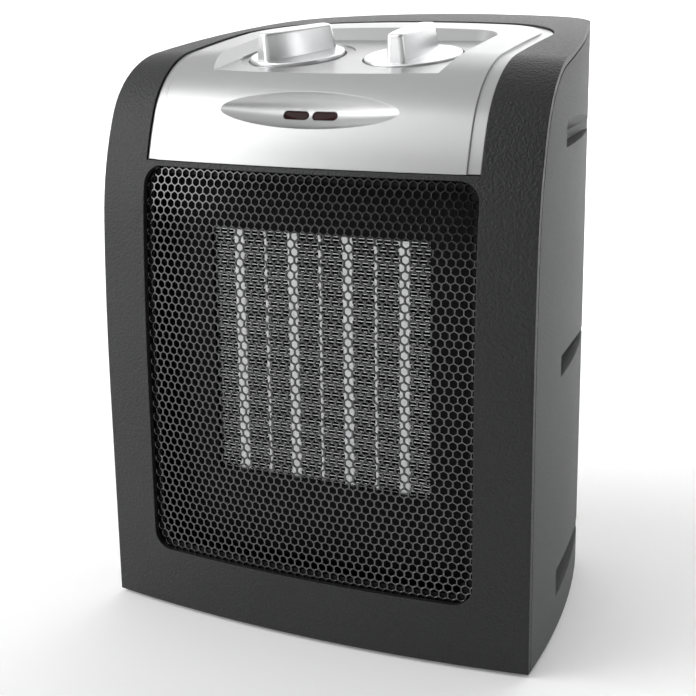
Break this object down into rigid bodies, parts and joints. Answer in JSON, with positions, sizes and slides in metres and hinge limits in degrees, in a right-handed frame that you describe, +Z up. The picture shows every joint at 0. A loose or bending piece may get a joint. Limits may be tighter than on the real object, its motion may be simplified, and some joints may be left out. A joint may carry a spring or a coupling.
{
  "type": "ceramic fan heater",
  "caption": "Free-standing ceramic fan heater with a bowed case, honeycomb grille, silver control panel, turning knobs, indicator lamps and a tip-over switch.",
  "frame": {"origin": "under the middle of the case, on the surface the feet stand on", "axes": "+Z up, +X to the heater's left as it faces -Y, front grille towards -Y"},
  "size_m": [0.19, 0.14, 0.2456],
  "materials": {
    "front_plastic": "fine spark-eroded charcoal",
    "rear_plastic": "fine spark-eroded dark grey",
    "black_plastic": "black heat-resistant moulding",
    "panel_silver": "satin silver metallic paint",
    "knob_silver": "brushed satin silver",
    "grille_metal": "black painted honeycomb, satin",
    "element_aluminium": "bare folded aluminium",
    "brass": "bare",
    "zinc_steel": "zinc plated",
    "motor_paint": "grey paint",
    "fan_plastic": "satin black",
    "switch_plastic": "off-white moulding",
    "lamp_red": "dark red translucent",
    "neon_glass": "clear",
    "ceramic_body": "bare",
    "foot_rubber": "matte"
  },
  "bodies": {
    "case": {"front_shell": "front_plastic", "rear_shell": "rear_plastic", "base_plate": "rear_plastic", "rubber_feet": "foot_rubber", "base_screws": "zinc_steel", "grille_mesh": "grille_metal", "grille_frame": "black_plastic", "element_tray": "black_plastic", "ptc_bars": "element_aluminium", "contact_strips": "element_aluminium", "radiator_fins": "element_aluminium", "element_terminals": "brass", "air_duct": "black_plastic", "fan_bulkhead": "black_plastic", "motor_spider": "zinc_steel", "motor": "motor_paint", "control_panel": "panel_silver", "power_lamp_lens": "lamp_red", "heat_lamp_lens": "lamp_red", "neon_lamps": "neon_glass", "lamp_holder": "black_plastic", "mode_switch": "switch_plastic", "thermostat": "switch_plastic", "control_bracket": "zinc_steel", "control_nuts": "zinc_steel", "tip_switch": "switch_plastic", "tip_spring": "zinc_steel", "thermal_cutout": "ceramic_body", "thermal_fuse": "zinc_steel", "terminal_block": "switch_plastic", "cord_gland": "black_plastic"},
    "fan": {"fan_rotor": "fan_plastic", "fan_shaft": "zinc_steel"},
    "mode_control": {"mode_knob": "knob_silver", "mode_shaft": "zinc_steel"},
    "thermostat_control": {"thermostat_knob": "knob_silver", "thermostat_shaft": "zinc_steel"},
    "tip_plunger": {"tip_plunger": "black_plastic"}
  },
  "joints": [
    {"name": "fan_spin", "type": "hinge", "parent": "case", "child": "fan", "pos_m": [0, -0.0115, 0.1122], "axis": [0, 1, 0], "continuous": true},
    {"name": "mode_turn", "type": "hinge", "parent": "case", "child": "mode_control", "pos_m": [-0.026, -0.0166, 0.23068], "axis": [0, -0.165, 0.9863], "range_deg": [-135, 0]},
    {"name": "thermostat_turn", "type": "hinge", "parent": "case", "child": "thermostat_control", "pos_m": [0.026, -0.0166, 0.23068], "axis": [0, -0.165, 0.9863], "range_deg": [-270, 0]},
    {"name": "tip_slide", "type": "slide", "parent": "case", "child": "tip_plunger", "axis": [0, 0, 1], "range_m": [-0.004, 0], "stiffness_N_per_m": 150, "springref_m": -0.006, "deforming": ["tip_spring"]}
  ]
}
